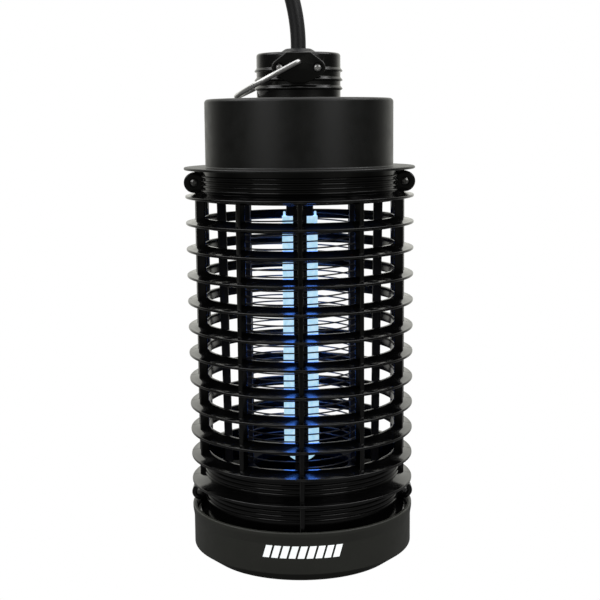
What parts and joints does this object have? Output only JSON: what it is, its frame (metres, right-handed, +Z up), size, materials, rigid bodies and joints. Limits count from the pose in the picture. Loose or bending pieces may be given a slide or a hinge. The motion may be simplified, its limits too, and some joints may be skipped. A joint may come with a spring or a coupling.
{
  "type": "electric bug zapper",
  "caption": "Hanging lantern insect killer: louvred cage round a U-shaped UV lamp and wound wire grid, round cap with cord and wire bail, pull-off insect tray.",
  "frame": {"origin": "centre of the insect tray's underside, which is what the object stands on", "axes": "+Z up along the lamp and the body's axis, -Y to the front, +X to the viewer's right"},
  "size_m": [0.1264, 0.1264, 0.4058],
  "materials": {
    "case_plastic": "black moulded plastic, satin",
    "cage_plastic": "black moulded plastic, semi-gloss",
    "inner_plastic": "dark moulded plastic, matte",
    "cord_rubber": "black flexible sheath",
    "bright_steel": "bright zinc-plated wire and screws",
    "grid_steel": "plain steel wire",
    "pin_brass": "plain brass",
    "lamp_glass": "phosphor-coated glass, glowing pale blue",
    "board_laminate": "green circuit laminate",
    "component_case": "dark component casing",
    "copper_winding": "enamelled copper",
    "lead_red": "red insulation",
    "lead_white": "white insulation"
  },
  "bodies": {
    "housing": {"cap_housing": "case_plastic", "neck_front": "case_plastic", "neck_rear": "case_plastic", "cage_front": "cage_plastic", "cage_rear": "cage_plastic", "cage_screw_upper_left": "bright_steel", "cage_screw_upper_right": "bright_steel", "cage_screw_lower_left": "bright_steel", "cage_screw_lower_right": "bright_steel", "neck_screw_left": "bright_steel", "neck_screw_right": "bright_steel", "deck_screw_front": "bright_steel", "deck_screw_rear": "bright_steel", "cord_grommet": "cord_rubber", "power_cable": "cord_rubber", "plug_body": "cord_rubber", "plug_pin_left": "pin_brass", "plug_pin_right": "pin_brass", "deck_plate": "inner_plastic", "grid_pillar_left": "inner_plastic", "grid_pillar_right": "inner_plastic", "grid_carrier": "inner_plastic", "grid_post_front": "inner_plastic", "grid_post_right": "inner_plastic", "grid_post_rear": "inner_plastic", "grid_post_left": "inner_plastic", "grid_wire_live": "grid_steel", "grid_wire_return": "grid_steel", "grid_lead_live": "lead_red", "grid_lead_return": "lead_white", "lamp_socket": "inner_plastic", "circuit_board": "board_laminate", "choke_core": "component_case", "choke_winding": "copper_winding", "capacitor_a": "component_case", "capacitor_b": "component_case", "capacitor_c": "component_case", "bleed_resistor": "copper_winding", "mains_core_live": "lead_red", "mains_core_neutral": "lead_white"},
    "bail": {"hanging_bail": "bright_steel"},
    "tray": {"base_tray": "case_plastic"},
    "lamp": {"lamp_base": "inner_plastic", "lamp_pin_left": "pin_brass", "lamp_pin_right": "pin_brass", "lamp_tube": "lamp_glass"}
  },
  "joints": [
    {"name": "bail_swing", "type": "hinge", "parent": "housing", "child": "bail", "pos_m": [0, 0, 0.2726], "axis": [0, 1, 0], "range_deg": [0, 100]},
    {"name": "tray_pull", "type": "slide", "parent": "housing", "child": "tray", "axis": [0, 0, -1], "range_m": [0, 0.045]},
    {"name": "lamp_pull", "type": "slide", "parent": "housing", "child": "lamp", "axis": [0, 0, -1], "range_m": [0, 0.008]}
  ]
}
